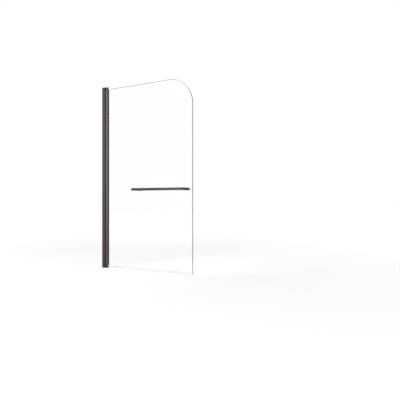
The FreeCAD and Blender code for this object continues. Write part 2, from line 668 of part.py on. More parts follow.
def bottom_seal():
    """Clear strip clipped on the glass, with a wiper below and a lip that curls to the inner side."""
    body = new_body("bottom_seal", x="pivot_x")
    section = new_sketch(body, "YZ_Plane", "drip_start")
    jaw_top = "lower_post_end + drip_jaw_height"
    curl = ("drip_lip_centre", "drip_floor")
    tip = [(f"drip_lip_centre - {radius} * cos(drip_lip_sweep)",
            f"drip_floor - {radius} * sin(drip_lip_sweep)")
           for radius in ("(drip_lip_radius + drip_fin)", "drip_lip_radius")]
    outline(section, [
        ("-drip_half", jaw_top), ("-drip_half", "drip_floor"), ("-drip_fin / 2", "drip_floor"),
        ("-drip_fin / 2", "drip_lift"), ("drip_fin / 2", "drip_lift"), ("drip_fin / 2", "drip_floor"),
        ("drip_half - drip_fin", "drip_floor", curl), tip[0], (*tip[1], curl, RIGHT),
        ("drip_half", "drip_floor"), ("drip_half", jaw_top), ("glass_half", jaw_top),
        ("glass_half", "lower_post_end"), ("-glass_half", "lower_post_end"), ("-glass_half", jaw_top),
    ])
    pad(body, section, "glass_free - drip_start - drip_end_inset")


def rail_bar():
    """Square tube of the towel rail, between its two posts."""
    body = new_body("rail_bar", x="pivot_x + rail_hinge_x + rail_half", y="-rail_middle", z="rail_height")
    section = new_sketch(body, "YZ_Plane")
    rounded_square(section, "rail_section", "rail_round")
    rectangle(section, "-rail_bore / 2", "rail_bore / 2", "-rail_bore / 2", "rail_bore / 2")
    pad(body, section, "tube_length")
    grub_hole = new_sketch(body, "XY_Plane")
    ring(grub_hole, "grub_thread + 2 * grub_gap", "grub_place")
    first_hole = pocket(body, grub_hole, "rail_section")
    repeat(body, first_hole, "X_Axis", "tube_length - 2 * grub_place", "2")


def rail_post(label, place, inward):
    """Square bar from the glass to the rail's front, with a spigot in the tube and a threaded back end."""
    body = new_body(label, x=f"pivot_x + {place}", y="-rail_back", z="rail_height")
    section = new_sketch(body, "XZ_Plane")
    rounded_square(section, "rail_section", "rail_round")
    pad(body, section, "rail_front - rail_back")
    front = measure("rail_front - rail_back")
    break_edges("Fillet", body, "rail_round / 2", lambda edge: lies_at(edge, y=-front))
    side = "rail_half" if inward > 0 else "-rail_half"
    spigot = new_sketch(body, "YZ_Plane", side)
    reach = "(rail_middle - rail_back)"
    half = "spigot_width / 2"
    rectangle(spigot, f"-{reach} - {half}", f"-{reach} + {half}", f"-{half}", half)
    pad(body, spigot, "spigot_length", reverse=inward < 0)
    grub_seat = new_sketch(body, "XY_Plane")
    place_along = "rail_half + grub_place" if inward > 0 else "-rail_half - grub_place"
    ring(grub_seat, "grub_thread + 2 * grub_gap", place_along, f"-{reach}")
    pocket(body, grub_seat, "rail_section")
    stud_seat = new_sketch(body, "XZ_Plane")
    ring(stud_seat, "stud_hole")
    pocket(body, stud_seat, "stud_post_reach + stud_end_gap", reverse=True)


def rail_grub_screws():
    """Grub screws that hold the tube on the posts' spigots, from below."""
    body = new_body("rail_grub_screws", x="pivot_x + rail_hinge_x + rail_half + grub_place",
                    y="-rail_middle", z="rail_height - grub_start")
    section = new_sketch(body, "XY_Plane")
    ring(section, "grub_thread")
    repeat(body, pad(body, section, "grub_length"), "X_Axis", "tube_length - 2 * grub_place", "2")


def rail_row(label, start, length, outer, inner=None):
    """Round pieces on the two studs' axes, from a start on Y to the inner side."""
    body = new_body(label, x="pivot_x + rail_hinge_x", y=start, z="rail_height")
    section = new_sketch(body, "XZ_Plane")
    ring(section, outer)
    if inner:
        ring(section, inner)
    repeat(body, pad(body, section, length, reverse=True), "X_Axis", "rail_span", "2")


def rail_knobs():
    """Round knobs on the inner side that draw the studs tight."""
    body = new_body("rail_knobs", x="pivot_x + rail_hinge_x", y="rail_back", z="rail_height")
    profile = new_sketch(body, "XY_Plane")
    radius = "(knob_width / 2)"
    outline(profile, [
        ("stud_hole / 2", "0"), (radius, "0"),
        (radius, "knob_height - knob_round", (f"{radius} - knob_round", "knob_height - knob_round")),
        (f"{radius} - knob_round", "knob_height"), ("0", "knob_height"),
        ("0", "stud_knob_reach + stud_end_gap"), ("stud_hole / 2", "stud_knob_reach + stud_end_gap"),
    ])
    repeat(body, turn(body, profile), "X_Axis", "rail_span", "2")


def build():
    """Build every piece, from the wall to the towel rail."""
    wall_channel()
    channel_cap("channel_foot_cap", turned_over=False)
    channel_cap("channel_head_cap", turned_over=True)
    lock_screws()
    lock_nuts()
    lock_screw_covers()
    hinge_jamb()
    jamb_seal()
    for end, turned_over in (("lower", False), ("upper", True)):
        pivot_bracket(f"{end}_pivot_bracket", turned_over)
        bracket_screws(f"{end}_bracket_screws", turned_over)
        pivot_bush(f"{end}_pivot_bush", turned_over)
        pivot_plug(f"{end}_pivot_plug", f"{end}_flange_start", turned_over)
        thrust_washer(f"{end}_thrust_washer", f"{end}_flange_start - washer_thickness", turned_over)
    pivot_post()
    glazing_gasket()
    glass_pane()
    bottom_seal()
    rail_bar()
    rail_post("rail_post_hinge_side", "rail_hinge_x", inward=1)
    rail_post("rail_post_free_side", "rail_free_x", inward=-1)
    rail_grub_screws()
    rail_row("rail_studs", "-rail_back - stud_post_reach",
             "stud_post_reach + 2 * rail_back + stud_knob_reach", "stud_thread")
    rail_row("rail_sleeves", "-glass_half", "glass_thickness", "sleeve_width", "sleeve_bore")
    rail_row("rail_outer_washers", "-rail_back", "pad_thickness", "outer_pad_width", "sleeve_bore")
    rail_row("rail_inner_washers", "glass_half", "pad_thickness", "inner_pad_width", "sleeve_bore")
    rail_knobs()


def check():
    """Stop if an object failed or a piece has no valid solid."""
    doc.recompute()
    for item in doc.Objects:
        if {"Invalid", "Error"} & set(item.State):
            raise RuntimeError(f"{item.Label} failed: {item.State}")
    for body in pieces:
        if body.Shape.isNull() or not body.Shape.isValid() or not body.Shape.Solids:
            raise RuntimeError(f"{body.Label} has no valid solid")


def write():
    """Write one file for each piece."""
    os.makedirs("parts", exist_ok=True)
    for body in pieces:
        body.Shape.exportStep(f"parts/{body.Label}.step")
        box = body.Shape.BoundBox
        print(f"{body.Label}: {len(body.Shape.Solids)} solids, {body.Shape.Volume:.0f} mm3, "
              f"X {box.XMin:.2f} to {box.XMax:.2f}, Y {box.YMin:.2f} to {box.YMax:.2f}, "
              f"Z {box.ZMin:.2f} to {box.ZMax:.2f}")


build()
check()
write()
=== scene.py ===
"""Looks of a pivoting bath screen: black wall profile, swinging glass and a square towel rail.

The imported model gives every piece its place. This script dresses those pieces, makes the pane with its
ground edges and the threaded fasteners afresh, and sets the floor, the light and the camera.
"""

import logging
import math
from dataclasses import dataclass, field
from enum import Enum, IntEnum
from typing import Any, Iterable

import bmesh
import bpy
from mathutils import Matrix, Vector


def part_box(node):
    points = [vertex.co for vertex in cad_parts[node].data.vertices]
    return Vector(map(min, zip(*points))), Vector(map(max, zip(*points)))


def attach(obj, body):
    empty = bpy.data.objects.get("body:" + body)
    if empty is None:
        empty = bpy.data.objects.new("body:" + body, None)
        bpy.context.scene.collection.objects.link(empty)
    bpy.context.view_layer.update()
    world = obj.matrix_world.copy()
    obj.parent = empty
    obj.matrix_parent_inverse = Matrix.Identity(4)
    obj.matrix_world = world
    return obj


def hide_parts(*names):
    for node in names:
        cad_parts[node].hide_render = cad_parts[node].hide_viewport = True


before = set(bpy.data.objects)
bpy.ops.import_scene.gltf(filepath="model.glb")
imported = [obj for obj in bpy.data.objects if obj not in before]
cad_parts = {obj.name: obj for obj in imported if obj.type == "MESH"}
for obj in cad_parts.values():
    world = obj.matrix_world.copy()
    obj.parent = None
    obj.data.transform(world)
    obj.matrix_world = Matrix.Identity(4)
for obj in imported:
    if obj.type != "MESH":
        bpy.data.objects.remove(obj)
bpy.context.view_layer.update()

MM = 0.001
log = logging.getLogger("bath_screen")

# Range that most of a noise texture's values lie in.
NOISE_LOW = 0.3
NOISE_HIGH = 0.7

# Numbers of the sRGB curve.
SRGB_KNEE = 0.04045
SRGB_SLOPE = 12.92
SRGB_OFFSET = 0.055
SRGB_POWER = 2.4

# Sockets of the Mix node when it mixes colours.
MIX_FACTOR = 0
MIX_SHADE = 6
MIX_TINT = 7
MIX_RESULT = 2

Colour = tuple[float, float, float, float]
Point = tuple[float, float, float]
Spot = tuple[float, float]
Loop = list[bmesh.types.BMVert]


class Body(Enum):
    """Bodies of the frame that a piece can ride on."""

    WALL_FRAME = "wall_frame"
    SLIDING_JAMB = "sliding_jamb"
    SWING_SCREEN = "swing_screen"


class Slot(Enum):
    """Material slots of the record that the new pieces take."""

    STEEL = "steel"
    CLEAR_GLASS = "clear_glass"


class Drive(Enum):
    """Recess that a fastener is turned by."""

    NONE = "none"
    HEX = "hex"
    CROSS = "cross"


class PaneFace(IntEnum):
    """Kinds of face on the pane, in the order of its materials."""

    CLEAR = 0
    GROUND = 1
    SEAMED = 2


def linear(code: str) -> Colour:
    """Turn an sRGB hex colour into a linear one.

    Args:
        code: six hex digits, with or without a leading #.

    Returns:
        Red, green, blue and an alpha of 1.
    """
    digits = code.lstrip("#")
    values = []
    for place in (0, 2, 4):
        share = int(digits[place:place + 2], 16) / 255
        dark = share / SRGB_SLOPE
        light = ((share + SRGB_OFFSET) / (1 + SRGB_OFFSET)) ** SRGB_POWER
        values.append(dark if share <= SRGB_KNEE else light)
    red, green, blue = values
    return red, green, blue, 1.0


def pitch(size_mm: float) -> float:
    """Texture scale at which one feature measures size_mm."""
    return 1 / (size_mm * MM)


def add(tree: bpy.types.NodeTree, kind: str, feeds: dict | None = None, **settings: Any) -> bpy.types.Node:
    """Add a node with its settings, values and links.

    Args:
        tree: the node tree that takes the node.
        kind: the node's type.
        feeds: a value or an output socket for each input, by name or by number.
        settings: the node's own properties.

    Returns:
        The new node.
    """
    node = tree.nodes.new(kind)
    for name, value in settings.items():
        setattr(node, name, value)
    for name, value in (feeds or {}).items():
        if isinstance(value, bpy.types.NodeSocket):
            tree.links.new(value, node.inputs[name])
        else:
            node.inputs[name].default_value = value
    return node


def new_material(name: str) -> tuple[bpy.types.Material, bpy.types.NodeTree, bpy.types.NodeSocket]:
    """Start a material with an empty tree.

    Args:
        name: the material's name.

    Returns:
        The material, its tree and the Surface socket of its output.
    """
    material = bpy.data.materials.new(name)
    material.use_nodes = True
    tree = material.node_tree
    tree.nodes.clear()
    return material, tree, add(tree, "ShaderNodeOutputMaterial").inputs["Surface"]


def drift(tree: bpy.types.NodeTree, size_mm: float, shade: str, tint: str,
          detail: float = 3.0) -> bpy.types.NodeSocket:
    """Let a colour drift between two close shades.

    Args:
        tree: the material's tree.
        size_mm: size of one patch.
        shade: one end of the drift, in sRGB hex.
        tint: the other end.
        detail: how ragged the patches are.

    Returns:
        The colour's socket.
    """
    place = add(tree, "ShaderNodeTexCoord").outputs["Object"]
    patches = add(tree, "ShaderNodeTexNoise", {
        "Vector": place, "Scale": pitch(size_mm), "Detail": detail}).outputs["Fac"]
    feeds = {MIX_FACTOR: patches, MIX_SHADE: linear(shade), MIX_TINT: linear(tint)}
    return add(tree, "ShaderNodeMix", feeds, data_type="RGBA").outputs[MIX_RESULT]


def seen_directly(tree: bpy.types.NodeTree) -> bpy.types.NodeSocket:
    """Tell the rays that look at a surface from those that only carry light.

    Args:
        tree: the tree of a material or of the world.

    Returns:
        A socket that is 1 for camera, glossy and transmission rays.
    """
    path = add(tree, "ShaderNodeLightPath").outputs
    straight = add(tree, "ShaderNodeMath", {0: path["Is Camera Ray"], 1: path["Is Glossy Ray"]},
                   operation="MAXIMUM").outputs["Value"]
    return add(tree, "ShaderNodeMath", {0: straight, 1: path["Is Transmission Ray"]},
               operation="MAXIMUM").outputs["Value"]


def clear_shadow(tree: bpy.types.NodeTree, shader: bpy.types.NodeSocket,
                 share: float) -> bpy.types.NodeSocket:
    """Let the lamps' light straight through a see-through piece.

    Args:
        tree: the material's tree.
        shader: the piece's own shader.
        share: how much of the light goes through.

    Returns:
        The socket of the shader that throws a light shadow, or none.
    """
    open_way = add(tree, "ShaderNodeBsdfTransparent").outputs["BSDF"]
    shadow_ray = add(tree, "ShaderNodeLightPath").outputs["Is Shadow Ray"]
    amount = add(tree, "ShaderNodeMath", {0: shadow_ray, 1: share}, operation="MULTIPLY").outputs["Value"]
    return add(tree, "ShaderNodeMixShader", {0: amount, 1: shader, 2: open_way}).outputs["Shader"]


@dataclass(frozen=True)
class Coat:
    """A coloured, textured skin: paint, casting, moulded plastic, rubber, nylon or steel.

    Two close shades drift over the surface in patches. A finer grain gives the roughness its spread
    and lifts the surface a little. Stretch draws the grain out along an axis, where it is under 1.
    Sink says how deep light goes, and in what colours, where subsurface is over 0.
    """

    name: str
    shade: str
    tint: str
    patch_mm: float
    grain_mm: float
    lift_mm: float
    smoothest: float
    roughest: float
    metallic: float = 0.0
    specular: float = 0.5
    subsurface: float = 0.0
    sink_mm: float = 2.0
    sink_colour: Point = (1.0, 0.9, 0.75)
    bump: float = 0.3
    grain_detail: float = 2.0
    stretch: Point = (1.0, 1.0, 1.0)

    def make(self) -> bpy.types.Material:
        """Build the material.

        Returns:
            A material that reads Object coordinates.
        """
        material, tree, surface = new_material(self.name)
        place = add(tree, "ShaderNodeTexCoord").outputs["Object"]
        drawn = add(tree, "ShaderNodeMapping", {"Vector": place, "Scale": self.stretch}).outputs["Vector"]
        grain = add(tree, "ShaderNodeTexNoise", {
            "Vector": drawn, "Scale": pitch(self.grain_mm), "Detail": self.grain_detail}).outputs["Fac"]
        rough = add(tree, "ShaderNodeMapRange", {
            "Value": grain, "From Min": NOISE_LOW, "From Max": NOISE_HIGH,
            "To Min": self.smoothest, "To Max": self.roughest}).outputs["Result"]
        bump = add(tree, "ShaderNodeBump", {
            "Height": grain, "Strength": self.bump, "Distance": self.lift_mm * MM}).outputs["Normal"]
        shader = add(tree, "ShaderNodeBsdfPrincipled", {
            "Base Color": drift(tree, self.patch_mm, self.shade, self.tint),
            "Roughness": rough, "Normal": bump, "Metallic": self.metallic,
            "Specular IOR Level": self.specular, "Subsurface Weight": self.subsurface,
            "Subsurface Scale": self.sink_mm * MM, "Subsurface Radius": self.sink_colour})
        tree.links.new(shader.outputs["BSDF"], surface)
        return material


@dataclass(frozen=True)
class FloatGlass:
    """Toughened float glass, rolled on a furnace bed: clear, with a faint green tinge and a slow wave."""

    name: str = "toughened_float_glass"
    clear: str = "#ffffff"
    tinge: str = "#fbfefc"
    tinge_mm: float = 400.0
    wave_mm: float = 220.0
    wave_lift_mm: float = 0.02
    wave_bump: float = 0.2
    wave_detail: float = 0.0
    ior: float = 1.52
    let_through: float = 1.0

    def make(self) -> bpy.types.Material:
        """Build the material.

        Returns:
            Clear glass that lets the lamps' light straight through.
        """
        material, tree, surface = new_material(self.name)
        place = add(tree, "ShaderNodeTexCoord").outputs["Object"]
        wave = add(tree, "ShaderNodeTexNoise", {
            "Vector": place, "Scale": pitch(self.wave_mm), "Detail": self.wave_detail})
        bump = add(tree, "ShaderNodeBump", {
            "Height": wave.outputs["Fac"], "Strength": self.wave_bump, "Distance": self.wave_lift_mm * MM})
        glass = add(tree, "ShaderNodeBsdfPrincipled", {
            "Base Color": drift(tree, self.tinge_mm, self.clear, self.tinge), "Roughness": 0.0,
            "IOR": self.ior, "Transmission Weight": 1.0, "Normal": bump.outputs["Normal"]})
        tree.links.new(clear_shadow(tree, glass.outputs["BSDF"], self.let_through), surface)
        return material


@dataclass(frozen=True)
class SoftVinyl:
    """Extruded clear vinyl: soft and milky, with die lines along the strip that blur what lies behind.

    The lines are drawn at 1.5 mm, wider than the real ones, so that they show.
    """

    name: str = "extruded_clear_vinyl"
    shade: str = "#fdfefd"
    tint: str = "#f8faf9"
    patch_mm: float = 40.0
    line_mm: float = 1.5
    line_detail: float = 1.0
    along: float = 0.02
    smoothest: float = 0.12
    roughest: float = 0.24
    clearness: float = 0.85
    let_through: float = 0.75
    ior: float = 1.53

    def make(self) -> bpy.types.Material:
        """Build the material.

        Returns:
            A milky see-through material that throws a light shadow.
        """
        material, tree, surface = new_material(self.name)
        place = add(tree, "ShaderNodeTexCoord").outputs["Object"]
        drawn = add(tree, "ShaderNodeMapping", {"Vector": place, "Scale": (self.along, 1.0, 1.0)})
        lines = add(tree, "ShaderNodeTexNoise", {
            "Vector": drawn.outputs["Vector"], "Scale": pitch(self.line_mm), "Detail": self.line_detail})
        rough = add(tree, "ShaderNodeMapRange", {
            "Value": lines.outputs["Fac"], "From Min": NOISE_LOW, "From Max": NOISE_HIGH,
            "To Min": self.smoothest, "To Max": self.roughest})
        vinyl = add(tree, "ShaderNodeBsdfPrincipled", {
            "Base Color": drift(tree, self.patch_mm, self.shade, self.tint),
            "Roughness": rough.outputs["Result"], "IOR": self.ior, "Transmission Weight": self.clearness})
        tree.links.new(clear_shadow(tree, vinyl.outputs["BSDF"], self.let_through), surface)
        return material


@dataclass(frozen=True)
class StudioFloor:
    """Matt white studio floor: white to the eye, grey only where the object shades it.

    The lamps light the floor near the screen. Away from them it glows a little more, so that it meets
    the white surroundings without a step. Distances are in metres.
    """

    name: str = "matt_white_floor"
    colour: str = "#e6e6e6"
    glow_near: float = 0.64
    glow_far: float = 0.785
    near: float = 1.2
    far: float = 3.5
    shaded_share: str = "#a8a8a8"

    def make(self) -> bpy.types.Material:
        """Build the material.

        Returns:
            A material that glows for the rays that look at it and is plain matt paint for the rest.
        """
        material, tree, surface = new_material(self.name)
        paint = add(tree, "ShaderNodeBsdfDiffuse", {"Color": linear(self.colour)})
        shaded = add(tree, "ShaderNodeBsdfDiffuse", {"Color": linear(self.shaded_share)})
        place = add(tree, "ShaderNodeTexCoord").outputs["Object"]
        away = add(tree, "ShaderNodeVectorMath", {0: place}, operation="LENGTH").outputs["Value"]
        level = add(tree, "ShaderNodeMapRange", {
            "Value": away, "From Min": self.near, "From Max": self.far,
            "To Min": self.glow_near, "To Max": self.glow_far})
        glow = add(tree, "ShaderNodeEmission", {"Strength": level.outputs["Result"]})
        seen = add(tree, "ShaderNodeAddShader", {0: shaded.outputs["BSDF"], 1: glow.outputs["Emission"]})
        mixed = add(tree, "ShaderNodeMixShader", {
            0: seen_directly(tree), 1: paint.outputs["BSDF"], 2: seen.outputs["Shader"]})
        tree.links.new(mixed.outputs["Shader"], surface)
        return material


# Powder coat on extruded aluminium: a deep, warm black with a soft sheen and a fine orange peel. The peel,
# about half a millimetre on the real one, is drawn at 2.5 mm so that it shows.
POWDER_COAT = Coat("powder_coated_aluminium", "#2e2726", "#332c2b", patch_mm=90, grain_mm=2.5, lift_mm=0.05,
                   smoothest=0.5, roughest=0.6, specular=0.3)

# Fine powder coat on extruded aluminium: smoother, so the turning post shows soft upright lights from the
# lamps. Its shade is painted lighter than the channel's coat, a painted highlight for the light on the
# post's front. The die lines of the extrusion run along the post and are drawn at 2 mm, wider than the real
# ones.
FINE_COAT_WITH_PAINTED_HIGHLIGHT = Coat("fine_powder_coat_painted_lighter", "#403b39", "#474140", patch_mm=90, grain_mm=2.0,
                 lift_mm=0.02, smoothest=0.28, roughest=0.34, specular=0.3, stretch=(1.0, 1.0, 0.05))

# Powder coat on drawn aluminium tube: the tube's flats are smooth, so they show broad, soft lights. The
# peel is drawn at 2.5 mm here too.
TUBE_COAT = Coat("powder_coated_tube", "#292524", "#2f2a29", patch_mm=60, grain_mm=2.5, lift_mm=0.03,
                 smoothest=0.28, roughest=0.34, specular=0.3)

# Painted zinc die casting: as black as the profile, with the dull, grainy skin of a cast surface. The grain
# is drawn at 1.5 mm, coarser than the real one, so that it shows.
CAST_ZINC = Coat("painted_zinc_casting", "#1c1b1b", "#262424", patch_mm=15, grain_mm=1.5, lift_mm=0.06,
                 smoothest=0.45, roughest=0.6)

# Injection-moulded polyamide: near black, matt, with a fine spark-eroded grain. It is drawn at 1.2 mm,
# coarser than the real one.
MOULDED_BLACK = Coat("moulded_black_polyamide", "#1b1b1b", "#242424", patch_mm=12, grain_mm=1.2,
                     lift_mm=0.05, smoothest=0.5, roughest=0.65)

# Extruded rubber: black and almost without sheen, with die lines along its length. They are drawn at 1.5 mm,
# wider than the real ones.
EXTRUDED_RUBBER = Coat("extruded_black_rubber", "#1c1c1c", "#242424", patch_mm=25, grain_mm=1.5,
                       lift_mm=0.05, smoothest=0.7, roughest=0.85, specular=0.3,
                       stretch=(1.0, 1.0, 0.05))

# Machined natural nylon: waxy off-white, into which light sinks a little. Its tool marks are drawn at 1 mm,
# wider than the real ones.
NATURAL_NYLON = Coat("natural_nylon", "#e8e6dc", "#dedbcf", patch_mm=8, grain_mm=1.0, lift_mm=0.02,
                     smoothest=0.35, roughest=0.5, subsurface=0.25)

# Cold-formed stainless steel: bright grey metal with fine forming marks. They are drawn at 0.8 mm, wider
# than the real ones.
STAINLESS = Coat("cold_formed_stainless_steel", "#b9b8b5", "#a9a8a6", patch_mm=6, grain_mm=0.8, lift_mm=0.02,
                 smoothest=0.25, roughest=0.4, metallic=1.0)

# Ground and polished glass edge: the light that runs inside the pane leaves it dark and sea green there.
# The wheel's marks are drawn at 1.2 mm, wider than the real ones.
GROUND_EDGE = Coat("ground_glass_edge", "#184616", "#1f4e1c", patch_mm=120, grain_mm=1.2, lift_mm=0.02,
                   smoothest=0.2, roughest=0.35, specular=0.2)

# Seamed glass: where the pane is covered, its edge is left as the belt and the drill leave it, pale and
# frosted. The frosting is drawn at 0.8 mm, coarser than the real one.
SEAMED_EDGE = Coat("seamed_glass_edge", "#f0f3f1", "#e7ebe9", patch_mm=5, grain_mm=0.8, lift_mm=0.03,
                   smoothest=0.5, roughest=0.7)

FLOAT_GLASS = FloatGlass()
SOFT_VINYL = SoftVinyl()


@dataclass
class Finishes:
    """The made materials, one for each finish that is asked for."""

    made: dict[str, bpy.types.Material] = field(default_factory=dict)

    def get(self, finish: Coat | FloatGlass | SoftVinyl) -> bpy.types.Material:
        """Give a finish's material, made on first use.

        Args:
            finish: the finish wanted.

        Returns:
            Its material.
        """
        if finish.name not in self.made:
            self.made[finish.name] = finish.make()
        return self.made[finish.name]

    def dress(self, finish: Coat | SoftVinyl, *nodes: str) -> None:
        """Give CAD nodes a finish.

        Args:
            finish: the finish wanted.
            nodes: names of the nodes.
        """
        for node in nodes:
            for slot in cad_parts[node].material_slots:
                slot.material = self.get(finish)
            log.info("%s: %s", node, finish.name)


class Shell:
    """A closed mesh that grows from loops of points."""

    def __init__(self) -> None:
        """Start with no faces."""
        self.grid = bmesh.new()

    def loop(self, points: Iterable[Point]) -> Loop:
        """Add a closed loop of points."""
        return [self.grid.verts.new(point) for point in points]

    def wall(self, one: Loop, other: Loop, finish: int = 0) -> None:
        """Join two loops of as many points by a band of faces.

        Args:
            one: the first loop.
            other: the second loop.
            finish: number of the faces' material.
        """
        for place, corner in enumerate(one):
            face = self.grid.faces.new((one[place - 1], corner, other[place], other[place - 1]))
            face.material_index = finish

    def refinish(self, level: float, finish: int) -> None:
        """Give the faces made so far another finish where they lie low.

        Args:
            level: height that the faces' middles lie under.
            finish: number of their new material.
        """
        for face in self.grid.faces:
            if face.calc_center_median().z < level:
                face.material_index = finish

    def cover(self, *loops: Loop, finish: int = 0) -> None:
        """Close the flat area inside a loop.

        Args:
            loops: the outer loop, and then the loops that stay open in it.
            finish: number of the faces' material.
        """
        edges = []
        for loop in loops:
            for place, corner in enumerate(loop):
                ends = (loop[place - 1], corner)
                edges.append(self.grid.edges.get(ends) or self.grid.edges.new(ends))
        for made in bmesh.ops.triangle_fill(self.grid, use_beauty=True, edges=edges)["geom"]:
            if isinstance(made, bmesh.types.BMFace):
                made.material_index = finish

    def build(self, name: str, materials: Iterable[bpy.types.Material] = (),
              crease_deg: float = 35) -> bpy.types.Object:
        """Turn the loops' faces into an object.

        Args:
            name: the object's name.
            materials: its materials, in the order of the faces' numbers.
            crease_deg: edges that turn more than this stay sharp.

        Returns:
            The object, in the scene.
        """
        bmesh.ops.recalc_face_normals(self.grid, faces=self.grid.faces)
        mesh = bpy.data.meshes.new(name)
        self.grid.to_mesh(mesh)
        self.grid.free()
        for material in materials:
            mesh.materials.append(material)
        mesh.shade_smooth()
        mesh.set_sharp_from_angle(angle=math.radians(crease_deg))
        piece = bpy.data.objects.new(name, mesh)
        bpy.context.scene.collection.objects.link(piece)
        return piece


def circle(radius: float, steps: int) -> list[Spot]:
    """Points round a circle about the origin."""
    turns = (2 * math.pi * step / steps for step in range(steps))
    return [(radius * math.cos(turn), radius * math.sin(turn)) for turn in turns]


class ThreadedRow:
    """Geometry nodes that cut a thread on a blank and repeat it in a row."""

    INPUTS = {
        "Geometry": "NodeSocketGeometry",
        "Core Radius": "NodeSocketFloat",
        "Ridge": "NodeSocketFloat",
        "Pitch": "NodeSocketFloat",
        "Thread Start": "NodeSocketFloat",
        "Thread Length": "NodeSocketFloat",
        "Count": "NodeSocketInt",
        "Spacing": "NodeSocketFloat",
        "Material": "NodeSocketMaterial",
    }
    STEPS_PER_TURN = 24
    RIDGE_SIDES = 4

    def __init__(self) -> None:
        """Build the tree, with a named input for each size."""
        self.tree = bpy.data.node_groups.new("threaded_row", "GeometryNodeTree")
        sockets = self.tree.interface
        self.keys = {name: sockets.new_socket(name, in_out="INPUT", socket_type=kind).identifier
                     for name, kind in self.INPUTS.items()}
        sockets.new_socket("Geometry", in_out="OUTPUT", socket_type="NodeSocketGeometry")
        given = add(self.tree, "NodeGroupInput").outputs
        turns = add(self.tree, "ShaderNodeMath", {
            0: given["Thread Length"], 1: given["Pitch"]}, operation="DIVIDE")
        spiral = add(self.tree, "GeometryNodeCurveSpiral", {
            "Resolution": self.STEPS_PER_TURN, "Rotations": turns.outputs["Value"],
            "Start Radius": given["Core Radius"], "End Radius": given["Core Radius"],
            "Height": given["Thread Length"]})
        section = add(self.tree, "GeometryNodeCurvePrimitiveCircle", {
            "Resolution": self.RIDGE_SIDES, "Radius": given["Ridge"]})
        ridge = add(self.tree, "GeometryNodeCurveToMesh", {
            "Curve": spiral.outputs["Curve"], "Profile Curve": section.outputs["Curve"], "Fill Caps": True})
        rise = add(self.tree, "ShaderNodeCombineXYZ", {"Z": given["Thread Start"]})
        lifted = add(self.tree, "GeometryNodeTransform", {
            "Geometry": ridge.outputs["Mesh"], "Translation": rise.outputs["Vector"]})
        screw = add(self.tree, "GeometryNodeJoinGeometry", {"Geometry": given["Geometry"]})
        self.tree.links.new(lifted.outputs["Geometry"], screw.inputs["Geometry"])
        step = add(self.tree, "ShaderNodeCombineXYZ", {"X": given["Spacing"]})
        places = add(self.tree, "GeometryNodeMeshLine", {
            "Count": given["Count"], "Offset": step.outputs["Vector"]})
        row = add(self.tree, "GeometryNodeInstanceOnPoints", {
            "Points": places.outputs["Mesh"], "Instance": screw.outputs["Geometry"]})
        real = add(self.tree, "GeometryNodeRealizeInstances", {"Geometry": row.outputs["Instances"]})
        dressed = add(self.tree, "GeometryNodeSetMaterial", {
            "Geometry": real.outputs["Geometry"], "Material": given["Material"]})
        add(self.tree, "NodeGroupOutput", {"Geometry": dressed.outputs["Geometry"]})

    def lay(self, blank: bpy.types.Object, sizes: dict[str, Any]) -> None:
        """Replace a blank's mesh by the finished row.

        Args:
            blank: the turned blank, upright at the origin.
            sizes: a value for each named input.
        """
        modifier = blank.modifiers.new("threaded_row", "NODES")
        modifier.node_group = self.tree
        for name, value in sizes.items():
            modifier[self.keys[name]] = value
        evaluated = blank.evaluated_get(bpy.context.evaluated_depsgraph_get())
        mesh = bpy.data.meshes.new_from_object(evaluated)
        blank.modifiers.clear()
        blank.data = mesh


